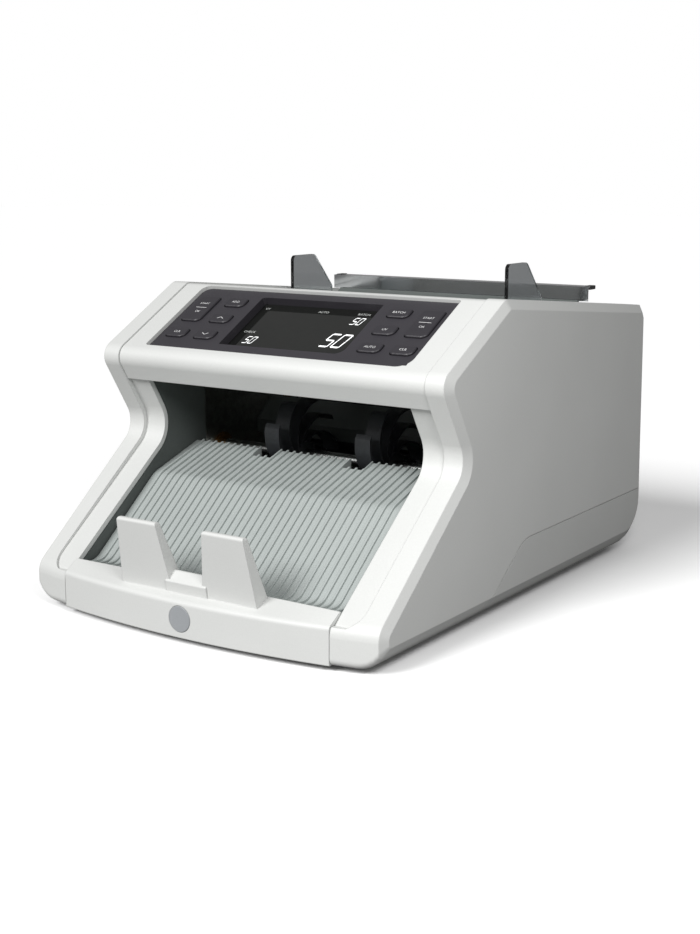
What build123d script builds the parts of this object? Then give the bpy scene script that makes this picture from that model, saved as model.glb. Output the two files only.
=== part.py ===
from build123d import *
from math import cos, hypot, radians, sin, sqrt
import os

# A table-top banknote counter: notes stand in the hopper at the top rear, the pickup and
# feed rollers take them down one by one, and two vaned wheels lay them on the ribbed tray
# in the front mouth. Millimetres; X to the right, Y to the rear, Z up.

# ---------------------------------------------------------------- driving dimensions
width = 250.0             # over the two side covers
depth = 336.0             # from the front plate's seams to the foot of the rear wall
height = 182.0            # underside of the base to the console's highest edge
foot_height = 3.5
foot_radius = 9.0

wall = 2.8                # moulded walls of the covers
seam = 0.3                # gap between neighbouring covers
front_bow = 8.0           # how far the middle of the front stands ahead of its seams

# the side outline, as (y, z) corners
lower_front_height = 21.0
waist_y, waist_z = 94.0, 94.0
nose_y, nose_z = 64.0, 143.0
console_back_y = 135.0
top_fall = 17.4           # drop of the top from the console to the rear
rear_lean = 4.7           # the rear wall leans forward by this much at its top
rear_chamfer = 6.3
nose_radius, waist_radius, lower_front_radius = 9.0, 15.0, 11.0
rear_bottom_radius = 25.0

# the side covers
band_width = 15.0         # white band beside the console and the mouth
flange_width = 15.1       # recessed strip beside the mouth
strip_recess = 2.9
edge_chamfer_in, edge_chamfer_out = 5.5, 3.0
bottom_round = 16.0
flange_depth = 6.0
skirt_height = 39.0
skirt_slope_start = 158.5

# the console
console_recess = 0.8
lip_bottom = 126.0
hopper_rim_y = 163.0
panel_low, panel_high = 12.6, 79.0     # control panel's ends, up the console's slope
panel_half = 94.2
panel_recess = 3.0
panel_thickness = 3.0
display_half = 44.5
display_low, display_high = 22.0, 73.0
display_depth = 5.0                    # window below the panel's face
window_thickness = 2.0
well_radius = 6.0                      # the display well's corner nearest the user on the right

# the buttons
button_columns = (60.0, 82.0)
button_rows = (29.5, 47.0, 64.6)
button_length, button_width = 15.0, 8.6
tall_button_length = 26.4
button_rise = 1.2
button_travel = 0.8
button_gap = 0.35

# the mechanism, as (y, z) centres
plate_gap = 25.7          # outer face of a cover to the outer face of a mechanism plate
plate_thickness = 2.0
slope_angle = 40.0        # feed plate above the horizontal
slope_top = (287.0, 169.0)
slope_length = 100.0
feed_along, pickup_along, slot_along = 92.0, 52.0, 48.0
feed_radius, pickup_radius, retard_radius = 18.0, 15.0, 9.0
feed_sink, pickup_sink = 17.0, 12.0
shaft_radius = 4.0
running = 0.05            # radial clearance of a shaft in its bush
stacker_centre = (152.0, 74.0)
stacker_radius = 36.0
stacker_x = 34.0
feed_roller_x = 24.0
motor_centre = (262.0, 48.0)
motor_radius = 17.0
guide_x = 82.0
guide_thickness = 2.5
belt_thickness = 1.2
belt_width = 5.0

# ---------------------------------------------------------------- derived places
half = width / 2
band_inner = half - band_width
mouth_half = band_inner - flange_width
plate_outer = half - plate_gap
plate_inner = plate_outer - plate_thickness
rear_top_z = height - top_fall
top_slope = top_fall / (depth - rear_lean - rear_chamfer - console_back_y)
slope_run = Vector(0, -cos(radians(slope_angle)), -sin(radians(slope_angle)))
slope_down = Vector(0, sin(radians(slope_angle)), -cos(radians(slope_angle)))


def bow(x):
    """How far back of the seams the front lies at x; negative is ahead of them."""
    return front_bow * ((x / mouth_half) ** 2 - 1)


def top_z(y):
    """Height of the top's outer face at y, behind the console."""
    return height - (y - console_back_y) * top_slope


def rear_y(z):
    """Place of the rear wall's outer face at height z."""
    return depth - rear_lean * z / (rear_top_z - rear_chamfer)


def outline(front=0.0, bottom=0.0):
    """The side outline's corners, with its front and bottom moved in."""
    shoulder = depth - rear_lean - rear_chamfer
    return [
        (front, bottom),
        (front, lower_front_height),
        (waist_y, waist_z),
        (nose_y, nose_z),
        (console_back_y, height),
        (shoulder, top_z(shoulder)),
        (rear_y(rear_top_z - rear_chamfer), rear_top_z - rear_chamfer),
        (rear_y(bottom), bottom),
    ]


outline_radii = [
    4.0, lower_front_radius, waist_radius, nose_radius, 8.0, 2.0, 2.0, rear_bottom_radius,
]
concave_corner = 2        # the waist is the one corner that bends inward


def inset(points, distances):
    """Corners of the outline with each side moved inward by its own distance."""
    count = len(points)
    sides = []
    for i in range(count):
        (ay, az), (by, bz) = points[i], points[(i + 1) % count]
        length = hypot(by - ay, bz - az)
        uy, uz = (by - ay) / length, (bz - az) / length
        sides.append((ay + uz * distances[i], az - uy * distances[i], uy, uz))
    corners = []
    for i in range(count):
        py, pz, uy, uz = sides[i - 1]
        qy, qz, vy, vz = sides[i]
        t = ((qy - py) * vz - (qz - pz) * vy) / (uy * vz - uz * vy)
        corners.append((py + uy * t, pz + uz * t))
    return corners


def inner_radii(distance):
    """Corner radii of an outline moved inward by the distance."""
    radii = [max(r - distance, 0.5) for r in outline_radii]
    radii[concave_corner] = outline_radii[concave_corner] + distance
    return radii


def section(points, radii, x):
    """A rounded outline of (y, z) points as a face across X at x."""
    line = FilletPolyline(*points, radius=radii, close=True)
    return Plane.YZ.offset(x) * make_face(line.edges())


def prism(points, radii, x0, x1):
    """A solid with a rounded outline of (y, z) points, from x0 to x1."""
    if isinstance(radii, (int, float)):
        radii = [radii] * len(points)
    return extrude(section(points, radii, x0), amount=x1 - x0)


def box(x0, x1, y0, y1, z0, z1):
    """A block between two corners."""
    centre = Pos((x0 + x1) / 2, (y0 + y1) / 2, (z0 + z1) / 2)
    return centre * Box(x1 - x0, y1 - y0, z1 - z0)


def rod(centre, radius, x0, x1):
    """A cylinder along X about a (y, z) centre."""
    return extrude(Plane.YZ.offset(x0) * Pos(*centre) * Circle(radius), amount=x1 - x0)


def tube(centre, radius, bore, x0, x1):
    """A hollow cylinder along X about a (y, z) centre."""
    ring = Circle(radius) - Circle(bore)
    return extrude(Plane.YZ.offset(x0) * Pos(*centre) * ring, amount=x1 - x0)


def on_slope(along, below):
    """The (y, z) point so far down the feed plate and so far under its face."""
    point = Vector(0, *slope_top) + slope_run * along + slope_down * below
    return point.Y, point.Z


def mirrored(shape):
    """The same piece for the other side of the machine."""
    return mirror(shape, about=Plane.YZ)


feed_centre = on_slope(feed_along, feed_sink)
pickup_centre = on_slope(pickup_along, pickup_sink)
retard_centre = on_slope(feed_along, feed_sink - feed_radius - seam - retard_radius)

console_lean = Vector(0, console_back_y - nose_y, height - nose_z).normalized()
console_plane = Plane(
    origin=(0, nose_y, nose_z), x_dir=(1, 0, 0), z_dir=(0, -console_lean.Z, console_lean.Y)
)
slope_plane = Plane(
    origin=(0, slope_top[0], slope_top[1]), x_dir=(1, 0, 0),
    z_dir=(0, -slope_down.Y, -slope_down.Z),
)
rear_plane = Plane(
    origin=(0, depth, 0), x_dir=(-1, 0, 0),
    z_dir=Vector(0, rear_top_z - rear_chamfer, rear_lean).normalized(),
)


def slab(plane, x0, x1, y0, y1, z0, z1):
    """A block laid out in a plane's own axes."""
    return plane * box(x0, x1, y0, y1, z0, z1)


# ---------------------------------------------------------------- side covers
round_start = half - bottom_round


def bottom_rise(x, radius):
    """Height of the rounded bottom edge at x, for an edge of this radius."""
    run = max(x - round_start, 0.0)
    return bottom_round - sqrt(max(radius ** 2 - run ** 2, 0.0))


def side_blank():
    """The right side's outer shape: bowed front, rounded bottom edge, chamfered rim."""
    edge = half - edge_chamfer_out
    stations = [mouth_half + seam / 2, round_start]
    stations += [round_start + (edge - round_start) * part for part in (0.3, 0.55, 0.8, 1.0)]
    faces = []
    for x in stations:
        points = outline(bow(x), bottom_rise(x, bottom_round))
        faces.append(section(points, outline_radii, x))
    rim = outline(bow(edge), bottom_rise(edge, bottom_round))
    rim = inset(rim, [edge_chamfer_in] * len(rim))
    rim_radii = [2.0, 5.0, waist_radius + 4, nose_radius - 3, 4.0, 1.0, 1.0, 20.0]
    faces.append(section(rim, rim_radii, half))
    return loft(faces, ruled=True)


def side_hollow():
    """The space inside a side cover."""
    face = half - wall
    radius = bottom_round - wall
    stations = [mouth_half - 1, round_start]
    stations += [round_start + radius * part for part in (0.4, 0.7, 0.9, 1.0)]
    thick = [flange_depth] * 4 + [wall] * 4
    faces = []
    for x in stations:
        rise = bottom_rise(x, radius)
        points = inset(outline(bow(x), rise - wall), thick)
        radii = [0.5, 2.0, waist_radius + flange_depth, 4.0, 3.0, 0.5, 0.5, rear_bottom_radius - wall]
        faces.append(section(points, radii, min(x, face)))
    return loft(faces, ruled=True)


def skirt_region(gap, x0, x1):
    """Below and behind the parting line between a side cover and the base."""
    low = -5.0
    foot = skirt_slope_start - (skirt_height - low) * 1.38
    points = [
        (foot + gap, low), (skirt_slope_start + gap, skirt_height - gap),
        (depth + 20, skirt_height - gap), (depth + 20, low),
    ]
    return prism(points, [0, 28, 0, 0], x0, x1)


def strip_cut():
    """Takes the strip beside the mouth below the band, ending in a rounded corner."""
    outer = inset(outline(), [-6.0] * 8)
    inner = inset(outline(), [strip_recess] * 8)
    outer_body = prism(outer, [0] * 8, mouth_half - 1, band_inner)
    inner_radius = inner_radii(strip_recess)
    inner_body = prism(inner, inner_radius, mouth_half - 2, band_inner + 1)
    ring = (outer_body - inner_body) & box(0, half, -20, 130, lower_front_height, lip_bottom + 8)
    # the lower end: the strip's outer edge turns in to the top of the front seam
    rise = Vector(0, waist_y, waist_z - lower_front_height).normalized()
    corner_plane = Plane(
        origin=(0, 0, lower_front_height), x_dir=(1, 0, 0), z_dir=(0, -rise.Z, rise.Y)
    )
    corner = slab(corner_plane, mouth_half - 2, band_inner + 2, -20, flange_width, -12, 12)
    keep = corner_plane * Pos(mouth_half, flange_width, 0) * Cylinder(flange_width, 30)
    return ring - (corner - keep)


def side_cover():
    """Right cover, with the white band and the recessed strip beside the mouth."""
    body = side_blank() - side_hollow()
    body -= box(mouth_half - 2, band_inner + seam / 2, -20, depth + 20, lip_bottom + 5, height + 9)
    body -= box(mouth_half - 2, band_inner + seam / 2, 104, depth + 20, -9, lip_bottom + 6)
    body -= box(mouth_half - 2, round_start, 12, depth + 20, -9, 14)
    body -= skirt_region(0, mouth_half - 2, half + 5)
    return body - strip_cut()


right_side_cover = side_cover()
left_side_cover = mirrored(right_side_cover)


# ---------------------------------------------------------------- base
def base_pan():
    """Bottom plate with the rear skirts that wrap up the sides and the back."""
    hollow = inset(outline(), [wall] * 8)
    plate = prism(outline(), outline_radii, -round_start, round_start)
    plate -= prism(hollow, inner_radii(wall), -half, half)
    floor = plate & box(-half, half, 12.3, depth - 60, -1, wall)
    radius = (mouth_half ** 2 + front_bow ** 2) / (2 * front_bow)
    tongue = Pos(0, radius - front_bow, wall / 2) * Cylinder(radius - wall, wall)
    floor += tongue & box(0.6 - mouth_half, mouth_half - 0.6, -front_bow, 12.5, -1, wall)
    back = plate & skirt_region(seam, -half, half)
    side = (side_blank() - side_hollow()) & skirt_region(seam, round_start, half + 5)
    pan = floor + back + side + mirrored(side)
    for x, y in board_posts + supply_posts:
        pan += Pos(x, y, wall + post_height / 2) * Cylinder(post_radius, post_height)
        pan -= Pos(x, y, wall + post_height / 2 + 1) * Cylinder(screw_radius + 0.15, post_height)
    return pan


board_half, board_front, board_back = 70.0, 58.0, 150.0
supply_left, supply_right, supply_front, supply_back = -30.0, 62.0, 200.0, 292.0
post_height, post_radius, screw_radius, post_inset = 6.2, 3.6, 1.3, 5.0
board_thickness = 1.6
board_z = wall + post_height


def corner_posts(left, right, front, back):
    """The four screw places of a board."""
    return [
        (x, y)
        for x in (left + post_inset, right - post_inset)
        for y in (front + post_inset, back - post_inset)
    ]


board_posts = corner_posts(-board_half, board_half, board_front, board_back)
supply_posts = corner_posts(supply_left, supply_right, supply_front, supply_back)


def board_screws():
    """Pan-head screws that hold both boards on the base's posts."""
    screws = []
    for x, y in board_posts + supply_posts:
        head = Pos(x, y, board_z + board_thickness + 0.9) * Cylinder(2.8, 1.8)
        shank = Pos(x, y, board_z - 0.8) * Cylinder(screw_radius, 2 * board_thickness + 3.2)
        slot = Pos(x, y, board_z + board_thickness + 1.6) * Box(4.4, 0.7, 0.9)
        screws.append(head + shank - slot)
    return Compound(children=screws)


def circuit_board(left, right, front, back, posts):
    """A bare board with its screw holes."""
    board = box(left, right, front, back, board_z, board_z + board_thickness)
    for x, y in posts:
        board -= Pos(x, y, board_z) * Cylinder(screw_radius + 0.4, 8)
    return board


def main_board():
    """Control board with its processor, sockets and capacitors."""
    top = board_z + board_thickness
    board = circuit_board(-board_half, board_half, board_front, board_back, board_posts)
    board += box(-12, 12, 95, 119, top, top + 2.2)
    board += box(-50, -30, 130, 138, top, top + 8)
    board += box(30, 56, 130, 138, top, top + 8)
    board += box(-60, -34, 76, 82, top, top + 6)
    for x in (34, 44, 54):
        board += Pos(x, 100, top + 5) * Cylinder(4, 10)
    return board


def power_supply():
    """Power board: transformer, heat sink and smoothing capacitors."""
    top = board_z + board_thickness
    board = circuit_board(supply_left, supply_right, supply_front, supply_back, supply_posts)
    board += box(-14, 22, 222, 256, top, top + 30)
    board += box(-14, 22, 214, 264, top + 6, top + 24)
    board += box(36, 40, 216, 270, top, top + 28)
    for y in (268, 280):
        board += Pos(4, y, top + 9) * Cylinder(5, 18)
    return board


def feet():
    """Four rubber feet."""
    places = [(x, y) for x in (half - 32, 32 - half) for y in (38, depth - 40)]
    shapes = []
    for x, y in places:
        foot = Pos(x, y, -foot_height / 2) * Cylinder(foot_radius, foot_height)
        shapes.append(chamfer(foot.edges().filter_by(GeomType.CIRCLE).group_by(Axis.Z)[0], 0.8))
    return Compound(children=shapes)


# ---------------------------------------------------------------- front plate
def front_profile(x):
    """Section of the bowed front plate at x."""
    front = bow(x)
    skin = wall - 0.2
    points = [
        (front, 0), (front, lower_front_height), (11.2, 27.7),
        (11.2, 25.0), (front + skin, lower_front_height - 2), (front + skin, 0),
    ]
    return section(points, [0.5, 3.0, 0.8, 0.3, 0.5, 0.5], x)


def stop_fingers():
    """Two leaning stops with a sloped notch between them."""
    side = [(0.5, 18), (-8.0, 63), (-4.0, 63), (10.0, 25), (10.0, 18)]
    body = prism(side, [0, 1.6, 1.6, 0, 0], -60, 60)
    front_view = [
        (-48.8, 18), (-44.7, 64), (-16.8, 64), (-11.6, 29), (11.6, 29), (16.8, 64),
        (44.7, 64), (48.8, 18),
    ]
    shape = make_face(FilletPolyline(*front_view, radius=[0, 3, 3, 3, 3, 3, 3, 0], close=True).edges())
    body &= extrude(Plane.XZ.offset(40) * shape, amount=-80)
    saddle = [(-1.0, 22), (-2.6, 29.5), (3.2, 36), (9.0, 26), (9.0, 22)]
    return body + prism(saddle, [0, 0.6, 1.5, 0, 0], -14.5, 14.5)


badge_radius, badge_thickness, badge_z = 7.5, 1.2, 11.0


def front_plate():
    """Bowed plate below the mouth, moulded with the two stops for the stacked notes."""
    edge = mouth_half - seam / 2
    plate = loft([front_profile(x) for x in (-edge, -edge / 2, 0, edge / 2, edge)])
    plate += stop_fingers() - box(-60, 60, -2, 30, 0, 22.5)
    seat = Plane.XZ.offset(front_bow + 2) * Pos(0, badge_z) * Circle(badge_radius + 0.15)
    return plate - extrude(seat, amount=-3.2)


def badge_disc():
    """Plain round disc set in the front plate."""
    disc = Plane.XZ.offset(front_bow + 0.3) * Pos(0, badge_z) * Circle(badge_radius)
    disc = extrude(disc, amount=-badge_thickness)
    return chamfer(disc.edges().filter_by(GeomType.CIRCLE).group_by(Axis.Y)[0], 0.3)


# ---------------------------------------------------------------- console
def console_housing():
    """White housing over the mouth, with the seat for the control panel."""
    half_inside = band_inner - seam / 2
    body = prism(inset(outline(), [console_recess] * 8), inner_radii(console_recess),
                 -half_inside, half_inside)
    skin = console_recess + wall - 1.0
    body -= prism(inset(outline(), [skin] * 8), inner_radii(skin), -half, half)
    body &= box(-half, half, 0, hopper_rim_y, lip_bottom, height + 5)
    low, high = panel_low - seam, panel_high + seam
    side = panel_half + seam
    floor = -panel_recess - panel_thickness
    body += slab(console_plane, -side - 2, side + 2, low - 2, high + 2, floor - 2, -1.6)
    body -= extrude(console_plane * Pos(0, 0, floor) * panel_shape(low, high, side), amount=9 - floor)
    body -= slab(console_plane, 1.6 - side, side - 1.6, low + 1.6, high - 1.6, floor - 5, 9)
    # the return that closes the housing over the mouth
    body += box(-mouth_half, mouth_half, waist_y - 18, waist_y + 26, lip_bottom, lip_bottom + 2)
    return body


def panel_shape(low, high, side):
    """The control panel's outline: two corners are rounder than the others."""
    corners = [(-side, low), (side, low), (side, high), (-side, high)]
    return make_face(FilletPolyline(*corners, radius=[2, 9, 2, 6], close=True).edges())


def well_shape():
    """The display well's outline above the window, with one round corner."""
    corners = [
        (-display_half, display_low), (display_half, display_low),
        (display_half, display_high), (-display_half, display_high),
    ]
    return make_face(FilletPolyline(*corners, radius=[1, well_radius, 1, 2], close=True).edges())


def button_places():
    """Each button's name, its place on the console and its length up the slope."""
    inner, outer = button_columns
    low, middle, high = button_rows
    tall = (middle + high) / 2
    return [
        ("start_button_left", -outer, tall, tall_button_length),
        ("add_button", -inner, high, button_width),
        ("up_button", -inner, middle, button_width),
        ("down_button", -inner, low, button_width),
        ("clear_button_left", -outer, low, button_width),
        ("start_button_right", outer, tall, tall_button_length),
        ("batch_button", inner, high, button_width),
        ("uv_button", inner, middle, button_width),
        ("auto_button", inner, low, button_width),
        ("clear_button_right", outer, low, button_width),
    ]


def key_shape(length, grow):
    """A key cap's outline: the corner nearest the user on the right is the roundest."""
    x, y = button_length / 2 + grow, length / 2 + grow
    corners = [(-x, -y), (x, -y), (x, y), (-x, y)]
    return make_face(FilletPolyline(*corners, radius=[2.6, 4.2, 2.0, 2.6], close=True).edges())


def control_panel():
    """Dark panel with the display well and the openings for the keys."""
    face = -panel_recess
    back = face - panel_thickness
    window_top = face - display_depth
    plate = console_plane * Pos(0, 0, back) * panel_shape(panel_low, panel_high, panel_half)
    plate = extrude(plate, amount=panel_thickness)
    plate += slab(console_plane, -display_half - 1.4, display_half + 1.4, display_low - 1.4,
                  display_high + 1.4, window_top - window_thickness, back)
    plate -= slab(console_plane, -display_half, display_half, display_low, display_high, -20, window_top)
    plate -= extrude(console_plane * Pos(0, 0, window_top) * well_shape(), amount=display_depth + 9)
    for name, x, y, length in button_places():
        hole = console_plane * Pos(x, y, back - 1) * key_shape(length, button_gap)
        plate -= extrude(hole, amount=panel_thickness + 2)
    return plate


def button(x, y, length):
    """Key cap with the flange that keeps it behind the panel, and its stem."""
    face = -panel_recess
    back = face - panel_thickness
    cap = console_plane * Pos(x, y, back - 0.1) * key_shape(length, 0)
    cap = extrude(cap, amount=panel_thickness + button_rise + 0.1)
    rim = cap.faces().sort_by(Axis((0, 0, 0), console_plane.z_dir))[-1]
    cap = chamfer(rim.edges(), 0.5)
    flange = console_plane * Pos(x, y, back - 0.9) * key_shape(length, 1.0)
    cap += extrude(flange, amount=0.8)
    stem = console_plane * Pos(x, y, back - 1.2) * Cylinder(2.0, 1.2)
    return cap + stem


def display_window():
    """Smoked cover in front of the display."""
    top = -panel_recess - display_depth
    side = display_half - 0.2
    return slab(console_plane, -side, side, display_low + 0.2, display_high - 0.2,
                top - window_thickness, top)


def display_module():
    """Display glass on its carrier, behind the window."""
    top = -panel_recess - display_depth - window_thickness
    glass = slab(console_plane, -42, 42, display_low + 3, display_high - 3, top - 2.6, top)
    carrier = slab(console_plane, -46, 46, display_low - 2, display_high + 2, top - 6, top - 2.6)
    return glass + carrier


def keypad_board():
    """Board behind the keys, with a push switch under each stem."""
    top = -panel_recess - panel_thickness - 4.8
    board = slab(console_plane, -91, 91, panel_low + 2.6, panel_high - 2.6, top - 1.6, top)
    board -= slab(console_plane, -47, 47, display_low - 3, display_high + 3, top - 3, top + 3)
    for name, x, y, length in button_places():
        board += slab(console_plane, x - 3, x + 3, y - 3, y + 3, top, top + 2.1)
    return board


# ---------------------------------------------------------------- mouth
tray_points = [(11.8, 24.4), (25, 23), (80, 67.5), (122, 81.5)]
rib_pitch, rib_width, rib_height = 5.2, 1.3, 1.2


def tray_band(rise, thickness, x0, x1):
    """A strip of the tray's bent floor, raised and thickened."""
    upper = [(y, z + rise) for y, z in tray_points]
    lower = [(y, z + rise - thickness) for y, z in reversed(tray_points)]
    return prism(upper + lower, [0, 12, 14, 0, 0, 14, 12, 0], x0, x1)


def stacker_tray():
    """Ribbed tray that the counted notes slide down, slotted for the vaned wheels."""
    side = mouth_half - 0.7
    tray = tray_band(0, 2.6, -side, side)
    back_y, back_z = tray_points[-1]
    tray += box(-side, side, back_y - 2.4, back_y, back_z - 22, back_z - 0.8)
    count = int((side - 4) / rib_pitch)
    for i in range(-count, count + 1):
        x = i * rib_pitch
        tray += tray_band(rib_height, rib_height + 1.0, x - rib_width / 2, x + rib_width / 2)
    for x in (-stacker_x, stacker_x):
        tray -= box(x - 7.6, x + 7.6, stacker_centre[0] - stacker_radius - 3, depth, 0, height)
    return tray


def inner_cheek():
    """Right inner wall of the mouth, behind the strip."""
    points = inset(outline(), [flange_depth + 0.4] * 8)
    cheek = prism(points, inner_radii(flange_depth + 0.4), mouth_half + 0.1, plate_inner - 0.3)
    return cheek & box(0, half, 0, 132, 8, lip_bottom - 0.4)


# ---------------------------------------------------------------- hopper
def hopper_surround():
    """Top rear cover with the hopper's side walls and sloping front wall."""
    half_inside = band_inner - seam / 2
    body = prism(inset(outline(), [console_recess] * 8), inner_radii(console_recess),
                 -half_inside, half_inside)
    skin = console_recess + wall - 0.4
    body -= prism(inset(outline(), [skin] * 8), inner_radii(skin), -half, half)
    front = hopper_rim_y + seam
    edge_z = rear_top_z - rear_chamfer - 0.5
    body &= box(-half, half, front, depth + 5, edge_z, height + 5)
    rail_y = slope_top[0] + 3.2
    body -= box(-mouth_half, mouth_half, front - 1, rail_y, 0, height + 5)
    low_end = on_slope(84, -14)
    side = [
        (front, top_z(front) - 1.5), (rail_y, top_z(rail_y) - 1.5),
        on_slope(2, -3), low_end, (front, 150),
    ]
    side_wall = prism(side, [0, 0, 0, 0, 0], mouth_half, mouth_half + 2)
    body += side_wall + mirrored(side_wall)
    rim = top_z(front) - 1.5
    front_wall = [(front, rim), (front + 2.8, rim), (201.6, 132), (199.6, 130.6), (front, 171)]
    body += prism(front_wall, [0, 0, 0, 0, 0], -mouth_half - 1, mouth_half + 1)
    body -= knob_hole()
    return body


knob_place = (0.0, 312.0)
knob_radius, knob_height = 7.5, 6.0


def knob_hole():
    """Hole for the gap knob's neck."""
    x, y = knob_place
    return Pos(x, y, top_z(y)) * Cylinder(3.0 + running, 30)


def gap_knob():
    """Knob that sets the gap between the feed and retard rollers."""
    x, y = knob_place
    seat = top_z(y) + 0.6
    knob = Pos(x, y, seat + knob_height / 2) * Cylinder(knob_radius, knob_height)
    knob = chamfer(knob.edges().filter_by(GeomType.CIRCLE).group_by(Axis.Z)[-1], 0.8)
    flutes = 18
    for i in range(flutes):
        place = Rot(0, 0, i * 360 / flutes) * Pos(knob_radius + 0.4, 0, 0)
        knob -= Pos(x, y, seat + knob_height / 2 + 1) * place * Cylinder(0.8, knob_height)
    knob -= Pos(x, y + 3.5, seat + knob_height) * Box(1.2, 6, 1)
    return knob + Pos(x, y, seat - 6) * Cylinder(3.0, 12.01)


def feed_plate():
    """Sloping floor that the notes lean on, slotted for the rollers and the guides."""
    side = mouth_half - 0.4
    plate = slab(slope_plane, -side, side, -slope_length, 0, -2, 0)
    for sign in (-1, 1):
        x = sign * pickup_x
        plate -= slab(slope_plane, x - 8, x + 8, -pickup_along - 12, -pickup_along + 12, -3, 1)
        x = sign * feed_roller_x
        plate -= slab(slope_plane, x - 9, x + 9, -slope_length - 1, 13 - feed_along, -3, 1)
        near, far = sorted((sign * (guide_x - guide_inward - 3), sign * (guide_x + guide_outward + 3)))
        plate -= slab(slope_plane, near, far, -slot_along - 3, -slot_along + 3, -3, 1)
    return plate


pickup_x = 22.0
guide_inward, guide_outward = 34.0, 7.0


def note_guide():
    """Right guide: a clear plate on a slider that runs in the feed plate's slot."""
    x0, x1 = guide_x - guide_thickness / 2, guide_x + guide_thickness / 2
    front, back = 211.0, 257.0
    clear = 1.3
    lean = sin(radians(slope_angle)) / cos(radians(slope_angle))
    low_front = slope_top[1] - (slope_top[0] - front) * lean + clear
    low_back = slope_top[1] - (slope_top[0] - back) * lean + clear
    top = top_z(front) + 21
    side = [(front, low_front), (front, top), (front + 25, top), (back, top - 23), (back, low_back)]
    plate = prism(side, [1, 3.5, 5, 3, 1], x0, x1)
    neck = slab(slope_plane, x0, x1, -slot_along - 2.4, -slot_along + 2.4, -3, 3)
    slider = slab(slope_plane, x0 - 2.4, x1 + 2.4, -slot_along - 6, -slot_along + 6, -5, -2.3)
    return plate + neck + slider


def backrest_rail():
    """Polished steel channel across the hopper's rear edge, with a lip turned back."""
    y = slope_top[0] + 1.5
    top = top_z(y) + 10.0
    side = band_inner - 9.0
    web = box(-side, side, y, y + 1, top_z(y) + 0.4, top)
    web += box(-mouth_half + 0.5, mouth_half - 0.5, y, y + 1, top - 26, top_z(y) + 0.5)
    return web + box(-side, side, y, y + 11, top - 1, top)


# ---------------------------------------------------------------- mechanism
def mechanism_plate():
    """Right steel plate that carries the shafts."""
    side = [
        (104, wall), (104, 116), (150, 150), (on_slope(0, 4)[0], 156),
        (on_slope(0, 4)[0] + 12, 150), (on_slope(0, 4)[0] + 12, wall),
    ]
    plate = prism(side, [6, 6, 6, 6, 6, 6], plate_inner, plate_outer)
    for centre in (feed_centre, pickup_centre, stacker_centre):
        plate -= rod(centre, bush_radius, plate_inner - 1, plate_outer + 1)
    plate -= rod((118, 40), 9, plate_inner - 1, plate_outer + 1)
    plate -= rod((200, 30), 12, plate_inner - 1, plate_outer + 1)
    return plate


bush_radius = 6.5
pulley_clear = 0.15
left_belt_x = -(half - 15.0)
pickup_belt_x = half - 19.0
stacker_belt_x = half - 10.0
motor_pulley_radius, feed_drive_radius = 7.0, 14.0
pickup_pulley_radius = 9.0
stacker_drive_radius, stacker_pulley_radius = 8.0, 16.0


def left_mechanism_plate():
    """Left steel plate, which carries the motor as well."""
    plate = mirrored(mechanism_plate())
    return plate - rod(motor_centre, 4.0, -plate_outer - 1, -plate_inner + 1)


def shaft_bushes():
    """Sintered bushes of the three turning shafts."""
    bushes = []
    for sign in (-1, 1):
        for centre in (feed_centre, pickup_centre, stacker_centre):
            near, far = sorted((sign * (plate_inner - 1.5), sign * plate_outer))
            bush = tube(centre, bush_radius, shaft_radius + running, near, far)
            near, far = sorted((sign * (plate_inner - 1.5), sign * plate_inner))
            bush += tube(centre, bush_radius + 1.5, shaft_radius + running, near, far)
            bushes.append(bush)
    return Compound(children=bushes)


def pulley(centre, radius, x, bore):
    """A flanged belt pulley centred on x."""
    body = tube(centre, radius, bore, x - belt_width / 2 - 1.3, x + belt_width / 2 + 1.3)
    for side in (x - belt_width / 2 - 1.3, x + belt_width / 2 + 0.3):
        body += tube(centre, radius + 2, bore, side, side + 1)
    return body


def belt(first, first_radius, second, second_radius, x):
    """A closed belt round two pulleys."""
    def loop(grow):
        rings = [
            Pos(*first) * Circle(first_radius + grow), Pos(*second) * Circle(second_radius + grow),
        ]
        edges = [edge for ring in rings for edge in ring.edges()]
        return make_hull(edges)
    shape = loop(pulley_clear + belt_thickness) - loop(pulley_clear)
    return extrude(Plane.YZ.offset(x - belt_width / 2) * shape, amount=belt_width)


def rollers(centre, radius, places, length, grooves):
    """A pair of rubber rollers with grooves round them."""
    shapes = []
    for x in places:
        roller = tube(centre, radius, shaft_radius, x - length / 2, x + length / 2)
        for i in range(grooves):
            groove = x - length / 2 + (i + 1) * length / (grooves + 1)
            roller -= tube(centre, radius + 1, radius - 1, groove - 0.5, groove + 0.5)
        shapes.append(roller)
    return Compound(children=shapes)


def stacker_wheel(x):
    """A vaned wheel: curved vanes whose tips trail as it turns."""
    hub = Circle(9) - Circle(shaft_radius)
    upper = Pos(0, stacker_radius) * Rectangle(4 * stacker_radius, 2 * stacker_radius)
    arc = Pos(18, 0) * (Circle(24) - Circle(22.6))
    vane = (arc & upper & Circle(stacker_radius)) - Circle(6)
    shape = hub
    vanes = 10
    for i in range(vanes):
        shape += Rot(0, 0, i * 360 / vanes) * vane
    shape -= Circle(shaft_radius)
    wheel = Plane.YZ.offset(x - 5.5) * Pos(*stacker_centre) * shape
    return extrude(wheel, amount=11)


def retard_bracket():
    """Cross bar with two ears that hold the retard shaft."""
    y, z = retard_centre
    bar = box(-plate_inner, plate_inner, y - 15, y - 13, z - 8, z + 8)
    for x in (-39, 37):
        bar += box(x, x + 2, y - 14, y + 4.5, z - 5, z + 5) - rod(retard_centre, 3, x - 1, x + 3)
    return bar


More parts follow.
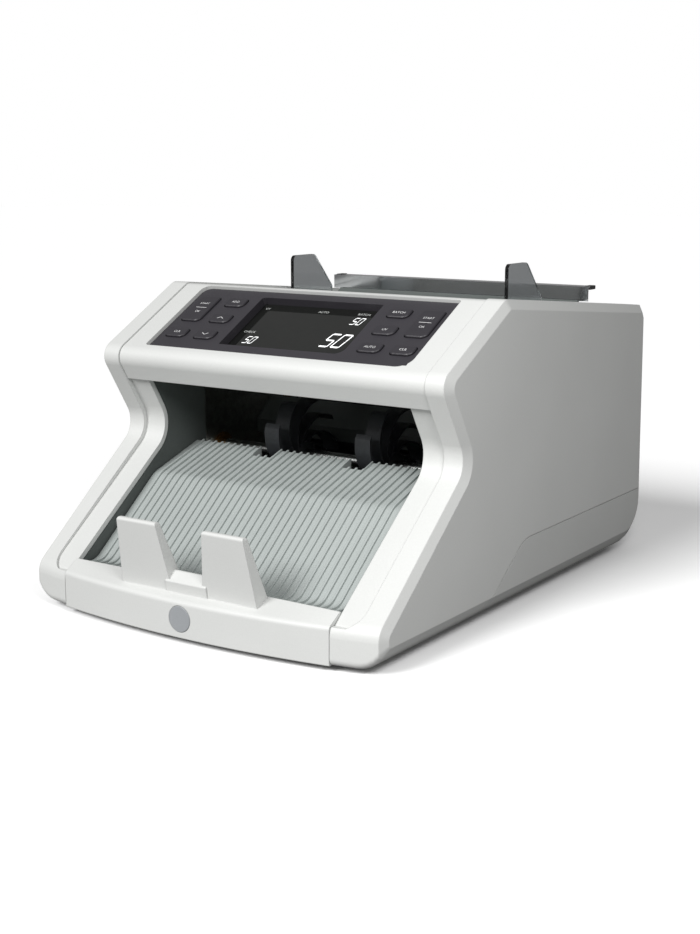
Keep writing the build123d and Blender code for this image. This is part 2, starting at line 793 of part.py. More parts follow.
def retard_rollers():
    """Two rubber retard rollers that hold the second note back."""
    shapes = [tube(retard_centre, retard_radius, 3, x - 5, x + 5) for x in (-feed_roller_x, feed_roller_x)]
    return Compound(children=shapes)


def transport_guide():
    """Bent plate that leads a note from the feed rollers to the vaned wheels."""
    start, end = on_slope(106, 1.5), on_slope(128, 1.5)
    start_low, end_low = on_slope(106, 3), on_slope(128, 3)
    points = [start, end, (end[0] - 0.2, end[1] - 9), (end[0] + 1.3, end[1] - 9), end_low, start_low]
    return prism(points, [0] * 6, -plate_inner, plate_inner)


def main_motor():
    """Direct-current motor on the left plate."""
    body = rod(motor_centre, motor_radius, -plate_inner, -plate_inner + 46)
    body = chamfer(body.edges().filter_by(GeomType.CIRCLE), 1.2)
    body += rod(motor_centre, 6, -plate_inner + 45, -plate_inner + 49)
    return body - rod(motor_centre, 2.5 + running, -plate_inner - 1, -plate_inner + 12)


def motor_pulley():
    """Pulley on the motor's spindle."""
    spindle = rod(motor_centre, 2.5, left_belt_x - 4, -plate_inner + 10)
    return pulley(motor_centre, motor_pulley_radius, left_belt_x, 2.5) + spindle


# ---------------------------------------------------------------- rear
cover_half, cover_low, cover_high = 90.0, 72.0, 148.0
knuckle_radius, pin_radius = 3.4, 1.5
cover_clear = 0.5
inlet_x, inlet_z = -62.0, 54.0
switch_x, switch_z = -22.0, 54.0
inlet_width, inlet_height = 28.0, 20.4
rocker_width, rocker_radius, rocker_sink = 12.0, 10.0, 8.0
rocker_tilt = 8.0         # the rocker rests tilted, at off


def rear_panel():
    """Fixed rear wall with the doorway, the power inlet and the switch."""
    half_inside = band_inner - seam / 2
    body = prism(outline(), outline_radii, -half_inside, half_inside)
    body -= prism(inset(outline(), [wall] * 8), inner_radii(wall), -half, half)
    body &= box(-half, half, depth - 40, depth + 5, skirt_height, rear_top_z - rear_chamfer - 0.8)
    side = cover_half + cover_clear
    low = cover_low - knuckle_radius - cover_clear
    body -= slab(rear_plane, -side, side, low, cover_high + cover_clear, -20, 5)
    for near, far in ((side, side + 6), (-side - 6, -side)):
        block = slab(rear_plane, near, far, cover_low - 4, cover_low + 5, -8, -wall)
        body += block + slab(rear_plane, near, far, cover_low - 4, cover_low + 5, -wall - 0.1, -wall + 0.5)
    body -= hinge_pins()
    body -= slab(rear_plane, -inlet_x - inlet_width / 2, -inlet_x + inlet_width / 2,
                 inlet_z - inlet_height / 2, inlet_z + inlet_height / 2, -9, 5)
    body -= slab(rear_plane, -switch_x - 7.6, -switch_x + 7.6, switch_z - 11, switch_z + 11, -9, 5)
    return body


def hinge_pins():
    """Two steel pins on which the rear cover turns."""
    pins = []
    for near, far in ((cover_half - 7, cover_half + 6), (-cover_half - 6, 7 - cover_half)):
        pin = slab(rear_plane, near, far, -pin_radius, pin_radius, -pin_radius, pin_radius)
        axis = rear_plane * Pos((near + far) / 2, cover_low, -knuckle_radius) * Rot(0, 90, 0)
        pins.append(axis * Cylinder(pin_radius, far - near))
    return Compound(children=pins)


def rear_cover():
    """Cleaning door, with a knuckle along its foot and vent slots."""
    door = slab(rear_plane, -cover_half, cover_half, cover_low, cover_high, -wall, 0)
    axis = rear_plane * Pos(0, cover_low, -knuckle_radius) * Rot(0, 90, 0)
    door += axis * Cylinder(knuckle_radius, 2 * cover_half)
    for sign in (-1, 1):
        end = rear_plane * Pos(sign * (cover_half - 3.4), cover_low, -knuckle_radius) * Rot(0, 90, 0)
        door -= end * Cylinder(pin_radius + running, 8)
    for i in range(9):
        y = cover_low + 22 + i * 5
        for x in (-38, 38):
            door -= slab(rear_plane, x - 26, x + 26, y - 1, y + 1, -10, 5)
    door -= slab(rear_plane, -12, 12, cover_high - 6, cover_high + 1, -1.4, 5)
    return door


def power_inlet():
    """Mains inlet: a flanged shroud with three pins, open to the rear."""
    x, z = -inlet_x, inlet_z
    shroud = slab(rear_plane, x - 13.8, x + 13.8, z - 10, z + 10, -20, 0.2)
    shroud += slab(rear_plane, x - 20, x + 20, z - 12.2, z + 12.2, 0.05, 2.2)
    shroud -= slab(rear_plane, x - 12.2, x + 12.2, z - 8.1, z + 8.1, -16, 5)
    for dx, dz in ((-7, 1.5), (0, -2.5), (7, 1.5)):
        shroud += slab(rear_plane, x + dx - 1, x + dx + 1, z + dz - 2, z + dz + 2, -17, -5)
    return shroud


def switch_frame():
    """Frame and body of the power switch."""
    x, z = -switch_x, switch_z
    frame = slab(rear_plane, x - 7.4, x + 7.4, z - 10.8, z + 10.8, -22, 0.2)
    frame += slab(rear_plane, x - 9, x + 9, z - 12.4, z + 12.4, 0.05, 1.6)
    pocket = rocker_radius + 0.4
    frame -= slab(rear_plane, x - 6.3, x + 6.3, z - pocket, z + pocket, -19, 5)
    return frame


def power_rocker():
    """Rocker of the power switch, dished on its face."""
    body = Rot(0, 90, 0) * Cylinder(rocker_radius, rocker_width)
    body &= box(-9, 9, -20, 20, -6, 20)
    body -= Pos(0, 0, rocker_sink + 14) * Rot(0, 90, 0) * Cylinder(13.0, 30)
    return rear_plane * Pos(-switch_x, switch_z, -rocker_sink) * Rot(rocker_tilt, 0, 0) * body


# ---------------------------------------------------------------- the whole machine
def turning_shaft(centre, left, right, radius=shaft_radius):
    """A plain ground shaft along X."""
    return chamfer(rod(centre, radius, left, right).edges(), 0.4)


nodes = {
    "base_pan": base_pan(),
    "left_side_cover": left_side_cover,
    "right_side_cover": right_side_cover,
    "front_plate": front_plate(),
    "badge_disc": badge_disc(),
    "console_housing": console_housing(),
    "control_panel": control_panel(),
    "display_window": display_window(),
    "display_module": display_module(),
    "keypad_board": keypad_board(),
    "stacker_tray": stacker_tray(),
    "inner_cheeks": Compound(children=[inner_cheek(), mirrored(inner_cheek())]),
    "hopper_surround": hopper_surround(),
    "feed_plate": feed_plate(),
    "backrest_rail": backrest_rail(),
    "right_note_guide": note_guide(),
    "left_note_guide": mirrored(note_guide()),
    "gap_knob": gap_knob(),
    "right_mechanism_plate": mechanism_plate(),
    "left_mechanism_plate": left_mechanism_plate(),
    "shaft_bushes": shaft_bushes(),
    "pickup_shaft": turning_shaft(pickup_centre, -plate_outer - 2, pickup_belt_x + 5),
    "pickup_rollers": rollers(pickup_centre, pickup_radius, (-pickup_x, pickup_x), 14, 3),
    "pickup_pulley": pulley(pickup_centre, pickup_pulley_radius, pickup_belt_x, shaft_radius),
    "feed_shaft": turning_shaft(feed_centre, left_belt_x - 5, stacker_belt_x + 4),
    "feed_rollers": rollers(feed_centre, feed_radius, (-feed_roller_x, feed_roller_x), 16, 3),
    "feed_pulleys": Compound(children=[
        pulley(feed_centre, feed_drive_radius, left_belt_x, shaft_radius),
        pulley(feed_centre, pickup_pulley_radius, pickup_belt_x, shaft_radius),
        pulley(feed_centre, stacker_drive_radius, stacker_belt_x, shaft_radius),
    ]),
    "stacker_shaft": turning_shaft(stacker_centre, -plate_outer - 2, stacker_belt_x + 4),
    "left_stacker_wheel": stacker_wheel(-stacker_x),
    "right_stacker_wheel": stacker_wheel(stacker_x),
    "stacker_pulley": pulley(stacker_centre, stacker_pulley_radius, stacker_belt_x, shaft_radius),
    "retard_bracket": retard_bracket(),
    "retard_shaft": turning_shaft(retard_centre, -41, 41, 3.0),
    "retard_rollers": retard_rollers(),
    "transport_guide": transport_guide(),
    "main_motor": main_motor(),
    "motor_pulley": motor_pulley(),
    "drive_belt": belt(motor_centre, motor_pulley_radius, feed_centre, feed_drive_radius, left_belt_x),
    "pickup_belt": belt(pickup_centre, pickup_pulley_radius, feed_centre, pickup_pulley_radius,
                        pickup_belt_x),
    "stacker_belt": belt(stacker_centre, stacker_pulley_radius, feed_centre, stacker_drive_radius,
                         stacker_belt_x),
    "main_board": main_board(),
    "power_supply": power_supply(),
    "board_screws": board_screws(),
    "rear_panel": rear_panel(),
    "rear_cover": rear_cover(),
    "hinge_pins": hinge_pins(),
    "power_inlet": power_inlet(),
    "switch_frame": switch_frame(),
    "power_rocker": power_rocker(),
    "rubber_feet": feet(),
}
for name, x, y, length in button_places():
    nodes[name] = button(x, y, length)

# the origin is on the surface the feet stand on, below the middle of the machine's box
boxes = [shape.bounding_box() for shape in nodes.values()]
middle_x = (min(b.min.X for b in boxes) + max(b.max.X for b in boxes)) / 2
middle_y = (min(b.min.Y for b in boxes) + max(b.max.Y for b in boxes)) / 2
to_origin = Pos(-middle_x, -middle_y, foot_height)

os.makedirs("parts", exist_ok=True)
for name, shape in nodes.items():
    export_step(to_origin * shape, f"parts/{name}.step")
print("pieces", len(nodes), "shift", -middle_x, -middle_y, foot_height)
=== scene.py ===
from math import radians

import bpy
from mathutils import Matrix, Vector


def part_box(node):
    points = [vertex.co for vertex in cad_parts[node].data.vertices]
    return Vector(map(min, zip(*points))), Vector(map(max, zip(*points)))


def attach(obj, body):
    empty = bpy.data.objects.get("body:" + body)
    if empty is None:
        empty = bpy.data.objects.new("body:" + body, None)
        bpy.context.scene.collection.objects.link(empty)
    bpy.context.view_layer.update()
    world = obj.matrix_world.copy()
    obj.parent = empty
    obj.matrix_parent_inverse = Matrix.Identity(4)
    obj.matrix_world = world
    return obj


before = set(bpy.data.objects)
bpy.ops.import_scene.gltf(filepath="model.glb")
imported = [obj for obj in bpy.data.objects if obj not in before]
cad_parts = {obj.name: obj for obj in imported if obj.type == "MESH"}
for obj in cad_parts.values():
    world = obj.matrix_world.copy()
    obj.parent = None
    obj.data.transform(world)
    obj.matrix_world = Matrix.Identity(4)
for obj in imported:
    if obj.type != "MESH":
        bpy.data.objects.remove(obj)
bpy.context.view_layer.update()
bpy.ops.object.select_all(action="DESELECT")

# ------------------------------------------------------------------ base and feet
# The base is one injection-moulded ABS tray whose skirts wrap up the sides and the back.
# It stands on four moulded rubber feet, and the tool's spark-eroded grain is on its outside.


def linear(hex_colour):
    """An sRGB hex colour as linear RGBA."""
    parts = [int(hex_colour[i:i + 2], 16) / 255 for i in (1, 3, 5)]
    return [p / 12.92 if p <= 0.04045 else ((p + 0.055) / 1.055) ** 2.4 for p in parts] + [1.0]


def add(tree, kind, settings=None, links=None):
    """One node of a material, with its settings and then its links."""
    node = tree.nodes.new(kind)
    for name, value in (settings or {}).items():
        if isinstance(name, int) or name in node.inputs:
            node.inputs[name].default_value = value
        else:
            setattr(node, name, value)
    for name, source in (links or {}).items():
        tree.links.new(source, node.inputs[name])
    return node


def finish(name, colour, shade, grain, depth, gloss, patch=60.0, run=(1, 1, 1), edge=0.0, **shader):
    """A worked surface: two close tones in patches, a grain and a roughness that varies.
    grain, depth, patch and edge are millimetres; run stretches the grain along an axis."""
    material = bpy.data.materials.new(name)
    material.use_nodes = True
    tree = material.node_tree
    tree.nodes.clear()
    place = add(tree, "ShaderNodeTexCoord").outputs["Object"]
    drawn = add(tree, "ShaderNodeMapping", {"Scale": run}, {"Vector": place}).outputs["Vector"]
    fine = add(tree, "ShaderNodeTexNoise", {"Scale": 1000 / grain, "Detail": 3.0, "Roughness": 0.6},
               {"Vector": drawn}).outputs["Fac"]
    broad = add(tree, "ShaderNodeTexNoise", {"Scale": 1000 / patch, "Detail": 2.0},
                {"Vector": place}).outputs["Fac"]
    both = add(tree, "ShaderNodeMath", {"operation": "ADD"}, {0: fine, 1: broad}).outputs[0]
    tone = add(tree, "ShaderNodeMapRange", {"From Min": 0.7, "From Max": 1.3}, {"Value": both}).outputs[0]
    mixed = add(tree, "ShaderNodeMix", {"data_type": "RGBA", 6: linear(colour), 7: linear(shade)},
                {0: tone}).outputs[2]
    matte = add(tree, "ShaderNodeMapRange",
                {"From Min": 0.3, "From Max": 0.7, "To Min": gloss[0], "To Max": gloss[1]},
                {"Value": broad}).outputs[0]
    links = {"Height": fine}
    if edge:
        links["Normal"] = add(tree, "ShaderNodeBevel", {"samples": 4, "Radius": edge / 1000}).outputs[0]
    bump = add(tree, "ShaderNodeBump", {"Strength": 1.0, "Distance": depth / 1000}, links).outputs[0]
    surface = add(tree, "ShaderNodeBsdfPrincipled", shader,
                  {"Base Color": mixed, "Roughness": matte, "Normal": bump}).outputs[0]
    add(tree, "ShaderNodeOutputMaterial", links={"Surface": surface})
    return material


def dress(material, *nodes):
    """Gives carried-over pieces their finish."""
    for node in nodes:
        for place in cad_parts[node].material_slots:
            place.material = material


# ABS with a VDI 24 spark-eroded grain: real grain is 0.15 mm, drawn at 0.9 mm so that it shows
shell_grain, shell_depth = 0.9, 0.022
abs_base = finish("abs_moulded_light_grey", "#CBCCCA", "#C6C7C5", shell_grain, shell_depth, (0.44, 0.52),
                  edge=0.6, IOR=1.5)
dress(abs_base, "base_pan", "rear_panel", "rear_cover")

# vulcanised rubber: matt, with a faint bloom
rubber_feet = finish("rubber_moulded_black", "#1B1B1C", "#262627", 1.2, 0.03, (0.7, 0.85), 8.0, IOR=1.52)
dress(rubber_feet, "rubber_feet")

# ------------------------------------------------------------------ circuit boards
# Two glass-epoxy boards screwed to the base's posts: control board and mains supply.
# Green solder mask over the laminate, with plated pan-head screws.

board_mask = finish("epoxy_laminate_solder_mask", "#16502F", "#1E6A3D", 2.0, 0.02, (0.3, 0.42), 12.0,
                    IOR=1.55)
dress(board_mask, "main_board", "power_supply", "keypad_board")
screw_zinc = finish("steel_zinc_plated", "#A9ABA6", "#8F918B", 0.8, 0.01, (0.28, 0.4), 5.0, Metallic=1.0)
dress(screw_zinc, "board_screws", "right_mechanism_plate", "left_mechanism_plate", "retard_bracket")

# ------------------------------------------------------------------ rollers, shafts and belts
# Ground steel shafts turn in sintered bronze bushes and carry grooved rubber rollers.
# Toothless rubber belts run on moulded acetal pulleys; the wheels' vanes are soft urethane.

shaft_ground = finish("steel_centreless_ground", "#C4C5C4", "#B2B3B2", 0.35, 0.004, (0.18, 0.28), 10.0,
                      (0.2, 3.0, 3.0), Metallic=1.0)
dress(shaft_ground, "pickup_shaft", "feed_shaft", "stacker_shaft", "retard_shaft")
bush_bronze = finish("bronze_sintered", "#8F6B3C", "#775530", 0.5, 0.02, (0.45, 0.6), 4.0, Metallic=1.0)
dress(bush_bronze, "shaft_bushes")
roller_rubber = finish("rubber_ground", "#2A2A2B", "#353536", 0.5, 0.05, (0.75, 0.9), 6.0, (0.3, 2.0, 2.0),
                       IOR=1.52)
dress(roller_rubber, "pickup_rollers", "feed_rollers", "retard_rollers")
belt_rubber = finish("rubber_belt_moulded", "#141414", "#1E1E1E", 0.9, 0.03, (0.6, 0.75), 6.0, IOR=1.52)
dress(belt_rubber, "drive_belt", "pickup_belt", "stacker_belt")
pulley_acetal = finish("acetal_moulded_natural", "#DAD6C9", "#CFCABB", 0.7, 0.006, (0.3, 0.4), 15.0,
                       IOR=1.48)
dress(pulley_acetal, "pickup_pulley", "feed_pulleys", "stacker_pulley", "motor_pulley")
vane_urethane = finish("urethane_moulded_dark", "#26282A", "#313437", 1.0, 0.02, (0.5, 0.62), 9.0, IOR=1.5)
dress(vane_urethane, "left_stacker_wheel", "right_stacker_wheel")
motor_paint = finish("steel_can_black_enamel", "#333336", "#3D3D40", 1.1, 0.012, (0.32, 0.42), 14.0,
                     IOR=1.5)
dress(motor_paint, "main_motor")

# ------------------------------------------------------------------ mouth
# The ribbed stacking tray is moulded in pale grey ABS and clips between dark grey side walls.
# A bent plate above it leads each note from the rollers to the vaned wheels.

tray_abs = finish("abs_moulded_pale_grey", "#A9AFAD", "#A2A8A6", 0.8, 0.008, (0.34, 0.44), 40.0, edge=0.3,
                  IOR=1.5)
dress(tray_abs, "stacker_tray")
inner_abs = finish("abs_moulded_dark_grey", "#565B59", "#4E5351", 0.9, 0.02, (0.5, 0.62), 50.0, IOR=1.5)
dress(inner_abs, "inner_cheeks", "feed_plate", "transport_guide")

# ------------------------------------------------------------------ covers
# White ABS side covers with a chamfered rim run the whole depth, and the bowed front plate
# with its two stops clips between them. Matt grain outside, sharp arrises eased by the tool.

shell_white = finish("abs_moulded_white", "#D3D4D2", "#CECFCD", shell_grain, shell_depth, (0.42, 0.5),
                     edge=0.8, IOR=1.5)
dress(shell_white, "left_side_cover", "right_side_cover", "front_plate", "console_housing")

# ------------------------------------------------------------------ badge
# A plain disc pressed into the front plate, bare satin grey.

badge_satin = finish("abs_moulded_satin_grey", "#9C9FA2", "#95989B", 0.6, 0.006, (0.28, 0.34), 10.0,
                     edge=0.2, IOR=1.5)
dress(badge_satin, "badge_disc")

# ------------------------------------------------------------------ control panel and keys
# A dark satin ABS panel sits in the sloping console. Ten caps of the same plastic stand
# a little proud of it, and each carries its word or arrow pad-printed in white.

panel_satin = finish("abs_moulded_charcoal", "#343237", "#2F2D32", 0.8, 0.014, (0.4, 0.5), 30.0, edge=0.3,
                     IOR=1.5)
dress(panel_satin, "control_panel")
key_satin = finish("abs_key_charcoal", "#302E33", "#2B292E", 0.7, 0.012, (0.36, 0.46), 12.0, edge=0.5,
                   IOR=1.5)
keys = [
    "start_button_left", "add_button", "up_button", "down_button", "clear_button_left",
    "start_button_right", "batch_button", "uv_button", "auto_button", "clear_button_right",
]
dress(key_satin, *keys)

# pad-printing ink: a thin, slightly uneven film of matt white
print_white = finish("ink_pad_printed_white", "#DEDEDE", "#C8C8C8", 0.5, 0.004, (0.5, 0.6), 3.0, IOR=1.5)

# thicknesses in metres; the stroke's point is metres cut off a corner for each millimetre of width
ink_film = 0.00002
merge_distance = 0.000002
stroke_point = 0.00045

console_tilt = radians(28.78)
console_turn = Matrix.Rotation(console_tilt, 4, "X")
up_slope = console_turn @ Vector((0, 1, 0))
out_of_slope = console_turn @ Vector((0, 0, 1))


def seat_on(node, clear=0.00003):
    """The console's own axes, at the middle of a piece's outer face."""
    points = [v.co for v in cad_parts[node].data.vertices]
    across = [p.x for p in points]
    along = [p @ up_slope for p in points]
    rise = max(p @ out_of_slope for p in points) + clear
    middle = Vector(((min(across) + max(across)) / 2, 0, 0))
    middle += up_slope * (min(along) + max(along)) / 2 + out_of_slope * rise
    return Matrix.Translation(middle) @ console_turn


def tidy_up(piece, material, body):
    """Merges a piece's doubles, turns its faces outward, and fixes it to a body."""
    bpy.ops.object.select_all(action="DESELECT")
    piece.select_set(True)
    bpy.context.view_layer.objects.active = piece
    bpy.ops.object.mode_set(mode="EDIT")
    bpy.ops.mesh.select_all(action="SELECT")
    bpy.ops.mesh.remove_doubles(threshold=merge_distance)
    bpy.ops.mesh.normals_make_consistent(inside=False)
    bpy.ops.object.mode_set(mode="OBJECT")
    piece.data.materials.clear()
    piece.data.materials.append(material)
    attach(piece, body)
    piece.select_set(False)


def word(text, size, seat, x=0.0, y=0.0):
    """A printed word; size is the letter's body in millimetres, x and y its middle."""
    bpy.ops.object.text_add(location=(0, 0, 0))
    piece = bpy.context.object
    piece.data.body = text
    piece.data.size = size / 1000
    piece.data.align_x = "CENTER"
    piece.data.align_y = "CENTER"
    piece.data.resolution_u = 3
    piece.data.extrude = ink_film / 2
    bpy.ops.object.convert(target="MESH")
    piece.data.transform(seat @ Matrix.Translation((x / 1000, y / 1000, ink_film / 2)))
    piece.select_set(False)
    return piece


def bar(length, width, seat, x=0.0, y=0.0, turn=0.0, slant=0.0):
    """A printed stroke with pointed ends, in millimetres; slant leans it like an italic."""
    bpy.ops.mesh.primitive_plane_add(size=0.001, location=(0, 0, 0))
    piece = bpy.context.object
    piece.data.transform(Matrix.Diagonal((length, width, 1, 1)))
    bpy.ops.object.mode_set(mode="EDIT")
    bpy.ops.mesh.select_all(action="SELECT")
    bpy.ops.mesh.bevel(offset=stroke_point * width, affect="VERTICES")
    bpy.ops.mesh.select_all(action="SELECT")
    bpy.ops.mesh.extrude_region_move(TRANSFORM_OT_translate={"value": (0, 0, ink_film)})
    bpy.ops.object.mode_set(mode="OBJECT")
    lean = Matrix(((1, slant, 0, 0), (0, 1, 0, 0), (0, 0, 1, 0), (0, 0, 0, 1)))
    place = Matrix.Translation((x / 1000, y / 1000, 0)) @ Matrix.Rotation(radians(turn), 4, "Z")
    piece.data.transform(seat @ lean @ place)
    piece.select_set(False)
    return piece


def joined(name, strokes):
    """Several strokes or words as one piece."""
    bpy.ops.object.select_all(action="DESELECT")
    for stroke in strokes:
        stroke.select_set(True)
    bpy.context.view_layer.objects.active = strokes[0]
    if len(strokes) > 1:
        bpy.ops.object.join()
    strokes[0].name = name
    return strokes[0]


# letter bodies and the arrows' two strokes, in millimetres and degrees
letters, start_letters, ok_letters = 2.7, 2.5, 2.6
arrow_long, arrow_wide, arrow_apart, arrow_turn = 2.9, 0.45, 1.2, 35
for key, text in (("add_button", "ADD"), ("clear_button_left", "CLR"), ("clear_button_right", "CLR"),
                  ("batch_button", "BATCH"), ("uv_button", "UV"), ("auto_button", "AUTO")):
    mark = joined(key + "_word", [word(text, letters, seat_on(key))])
    tidy_up(mark, print_white, key + "_key")
for key in ("start_button_left", "start_button_right"):
    seat = seat_on(key)
    strokes = [
        word("START", start_letters, seat, 0, 5.0),
        bar(8.4, 0.4, seat, 0, 0.6),
        word("OK", ok_letters, seat, 0, -3.8),
    ]
    tidy_up(joined(key + "_words", strokes), print_white, key + "_key")
for key, sign in (("up_button", 1), ("down_button", -1)):
    seat = seat_on(key)
    strokes = [
        bar(arrow_long, arrow_wide, seat, -arrow_apart, 0, arrow_turn * sign),
        bar(arrow_long, arrow_wide, seat, arrow_apart, 0, -arrow_turn * sign),
    ]
    tidy_up(joined(key + "_arrow", strokes), print_white, key + "_key")

# ------------------------------------------------------------------ display
# A segment display behind a smoked acrylic window, sunk in the panel. Its lit digits lean
# forward and its captions are small lit words; the acrylic is polished on both faces.

window_acrylic = finish("acrylic_smoked_polished", "#161716", "#1B1C1A", 4.0, 0.0006, (0.05, 0.09), 45.0,
                        IOR=1.49)
dress(window_acrylic, "display_window")
module_glass = finish("glass_display_black", "#141416", "#18181A", 3.0, 0.0005, (0.06, 0.1), 30.0, IOR=1.52)
dress(module_glass, "display_module")
window_seat = seat_on("display_window")


def lit(name, colour, dim, strength):
    """A back-lit legend: an even glow with the segment film's faint mottle."""
    material = bpy.data.materials.new(name)
    material.use_nodes = True
    tree = material.node_tree
    tree.nodes.clear()
    place = add(tree, "ShaderNodeTexCoord").outputs["Object"]
    mottle = add(tree, "ShaderNodeTexNoise", {"Scale": 1500.0, "Detail": 2.0},
                 {"Vector": place}).outputs["Fac"]
    glow = add(tree, "ShaderNodeMix", {"data_type": "RGBA", 6: linear(colour), 7: linear(dim)},
               {0: mottle}).outputs[2]
    surface = add(tree, "ShaderNodeBsdfPrincipled", {"Roughness": 0.4, "Emission Strength": strength},
                  {"Base Color": glow, "Emission Color": glow}).outputs[0]
    add(tree, "ShaderNodeOutputMaterial", links={"Surface": surface})
    return material


segment_light = lit("segment_backlit_white", "#FFFFFF", "#F0F4F4", 0.9)
caption_light = lit("caption_backlit_grey", "#B4B6B4", "#A2A4A2", 0.35)
segments = {"5": "afgcd", "0": "abcdef"}
# the lean of a digit, and the gap at a segment's ends as a share of its width
digit_slant, segment_gap = 0.25, 0.1
# width, height, pitch, and the widths of the flat and upright segments, in millimetres
large_digits = (5.8, 12.6, 8.2, 1.25, 0.65)
small_digits = (2.7, 6.6, 4.1, 0.55, 0.35)


def number(name, text, x, y, wide, tall, pitch, flat, upright):
    """A row of seven-segment digits about (x, y) on the window, in millimetres."""
    strokes = []
    for i, digit in enumerate(text):
        left = (i - (len(text) - 1) / 2) * pitch
        places = {
            "a": (left, tall / 2, 0), "g": (left, 0, 0), "d": (left, -tall / 2, 0),
            "f": (left - wide / 2, tall / 4, 90), "b": (left + wide / 2, tall / 4, 90),
            "e": (left - wide / 2, -tall / 4, 90), "c": (left + wide / 2, -tall / 4, 90),
        }
        for letter in segments[digit]:
            sx, sy, turn = places[letter]
            long = (tall / 2 if turn else wide) - segment_gap * flat
            seat = window_seat @ Matrix.Translation((x / 1000, y / 1000, 0))
            strokes.append(bar(long, upright if turn else flat, seat, sx, sy, turn, digit_slant))
    tidy_up(joined(name, strokes), segment_light, "chassis")


number("count_digits", "50", 28.0, -6.7, *large_digits)
number("batch_digits", "50", 31.2, 13.8, *small_digits)
number("check_digits", "50", -31.4, -12.5, *small_digits)
captions = [
    word("UV", 2.5, window_seat, -39.4, 20.6),
    word("AUTO", 2.7, window_seat, 2.6, 20.8),
    word("BATCH", 2.7, window_seat, 31.8, 21.0),
    word("CHECK", 2.7, window_seat, -36.8, -4.5),
]
tidy_up(joined("display_captions", captions), caption_light, "chassis")

# ------------------------------------------------------------------ hopper
# The hopper's surround is moulded in the same light grey ABS, and the notes lean against a
# bent channel of polished stainless steel. The small black blocks on its ends are painted shade
# for the shaded end faces of the channel's bent lip.

surround_abs = finish("abs_moulded_hopper_grey", "#CFD0CE", "#CACBC9", shell_grain, shell_depth,
                      (0.42, 0.5), edge=0.6, IOR=1.5)
dress(surround_abs, "hopper_surround")
rail_steel = finish("stainless_steel_polished", "#C9CBCC", "#BFC1C3", 0.3, 0.002, (0.12, 0.2), 25.0,
                    (0.15, 3.0, 3.0), Metallic=1.0)
dress(rail_steel, "backrest_rail", "hinge_pins")
# real black ABS for the inlet, switch and knob; the same black on the rail's end blocks is painted shade
black_abs_and_painted_shade = finish("abs_moulded_black_and_painted_shade", "#1A1A1B", "#222223", 0.8, 0.012, (0.4, 0.5), 12.0, edge=0.3,
                   IOR=1.5)
dress(black_abs_and_painted_shade, "power_inlet", "switch_frame", "power_rocker", "gap_knob")

rail_low, rail_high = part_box("backrest_rail")
# the painted-shade end block's size, how far it is shallower than the channel, how far it stands out, and
# its edges
shade_block_long, shade_block_thick, shade_block_shallower = 0.0045, 0.0026, 0.003
shade_block_proud, shade_block_behind, shade_block_edge = 0.0004, 0.0002, 0.0005
# each black block stands where the channel's bent lip has only shade: painted shade, not a real cap
for side in (-1, 1):
    bpy.ops.mesh.primitive_cube_add(size=1, location=(0, 0, 0))
    end_shade_block = bpy.context.object
    end_shade_block.name = "rail_end_painted_shade_right" if side > 0 else "rail_end_painted_shade_left"
    deep = rail_high.y - rail_low.y - shade_block_shallower
    outer = rail_high.x - shade_block_long / 2 + shade_block_proud
    middle = (side * outer, rail_high.y - deep / 2 + shade_block_behind, rail_high.z - shade_block_thick / 2 + shade_block_proud)
    end_shade_block.data.transform(Matrix.Translation(middle) @ Matrix.Diagonal((shade_block_long, deep, shade_block_thick, 1)))
    bpy.ops.object.mode_set(mode="EDIT")
    bpy.ops.mesh.select_all(action="SELECT")
    bpy.ops.mesh.bevel(offset=shade_block_edge, segments=3, affect="EDGES")
    bpy.ops.object.mode_set(mode="OBJECT")
    bpy.ops.object.shade_smooth_by_angle(angle=radians(40))
    tidy_up(end_shade_block, black_abs_and_painted_shade, "chassis")

# ------------------------------------------------------------------ note guides
# Two clear acrylic plates stand in the hopper and slide along the feed plate's slot.
# They are polished, with a light haze.

guide_acrylic = finish("acrylic_clear_cast", "#EEF2F4", "#E6EBEE", 3.0, 0.001, (0.06, 0.12), 30.0, IOR=1.49,
                       **{"Transmission Weight": 1.0})
dress(guide_acrylic, "left_note_guide", "right_note_guide")

# ------------------------------------------------------------------ studio
# A plain pale floor that throws little light back, a pale surround, a broad soft key light
# from the front left above and a weak lamp at the front right, where the camera stands too.

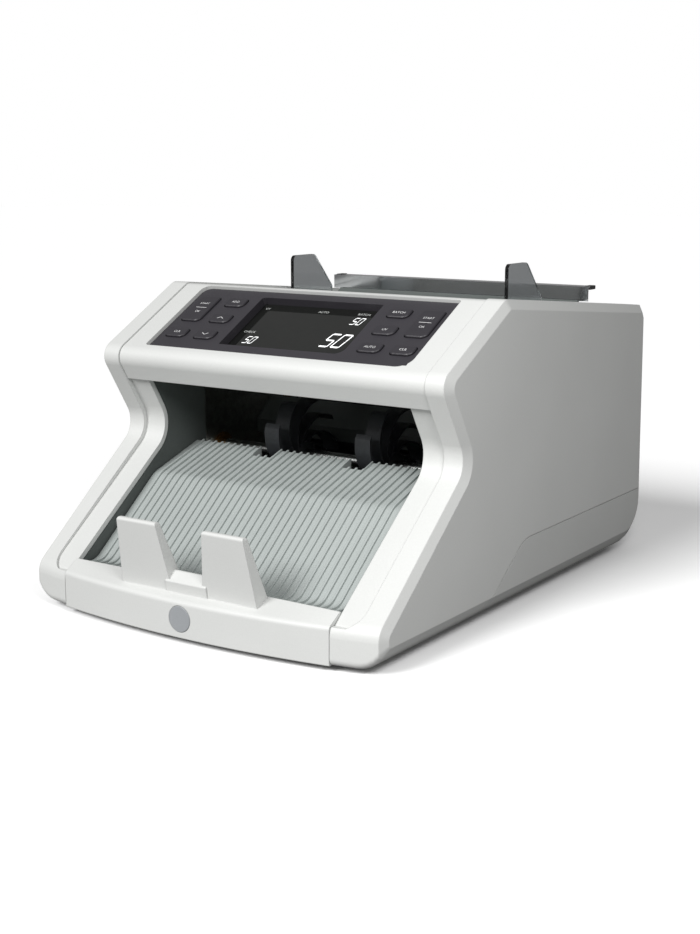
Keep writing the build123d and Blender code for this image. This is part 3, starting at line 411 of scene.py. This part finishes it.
floor_size = 14
floor_bounced = linear("#8C8C8C")
floor_seen = (1.25, 1.25, 1.25, 1)
surround_fill = 0.3
bpy.ops.mesh.primitive_plane_add(size=floor_size, location=(0, 0, 0))
floor = bpy.context.object
floor.name = "studio_floor"
floor_paper = bpy.data.materials.new("paper_floor_white")
floor_paper.use_nodes = True
paper = floor_paper.node_tree
paper.nodes.clear()
straight = add(paper, "ShaderNodeLightPath").outputs["Is Camera Ray"]
tint = add(paper, "ShaderNodeMix", {"data_type": "RGBA", 6: floor_bounced, 7: floor_seen},
           {0: straight}).outputs[2]
matt = add(paper, "ShaderNodeBsdfDiffuse", links={"Color": tint}).outputs[0]
add(paper, "ShaderNodeOutputMaterial", links={"Surface": matt})
floor.data.materials.append(floor_paper)

world = bpy.data.worlds.new("studio_surround")
bpy.context.scene.world = world
world.use_nodes = True
world.node_tree.nodes.clear()
seen = add(world.node_tree, "ShaderNodeLightPath").outputs["Is Camera Ray"]
fill = add(world.node_tree, "ShaderNodeMapRange", {"To Min": surround_fill, "To Max": 1.0},
           {"Value": seen}).outputs[0]
sky = add(world.node_tree, "ShaderNodeBackground", {"Color": (1, 1, 1, 1)},
          {"Strength": fill}).outputs[0]
add(world.node_tree, "ShaderNodeOutputWorld", links={"Surface": sky})


def aimed(name, kind, place, aim, power):
    """A lamp at a place, turned to its aim."""
    bpy.ops.object.light_add(type=kind, location=place)
    lamp = bpy.context.object
    lamp.name = name
    lamp.data.energy = power
    lamp.rotation_euler = (Vector(aim) - Vector(place)).to_track_quat("-Z", "Y").to_euler()
    return lamp


key_power, key_spread = 2.7, radians(28)
side_power, side_size = 1.8, 0.2
key_light = aimed("key_light", "SUN", (-0.3, -1.0, 0.75), (0, 0, 0), key_power)
key_light.data.angle = key_spread
side_light = aimed("side_light", "AREA", (0.45, -0.42, 0.42), (0.125, -0.12, 0.12), side_power)
side_light.data.size = side_size
side_light.visible_camera = False

# metres, degrees below the level and round from the front, and millimetres
camera_place = (0.5061, -0.7533, 0.2577)
camera_down, camera_round, camera_lens = 11.65, 34.06, 55.9
bpy.ops.object.camera_add(location=camera_place)
camera = bpy.context.object
camera.rotation_euler = (radians(90 - camera_down), 0, radians(camera_round))
camera.data.lens = camera_lens
bpy.context.scene.camera = camera
bpy.context.scene.view_settings.view_transform = "Standard"
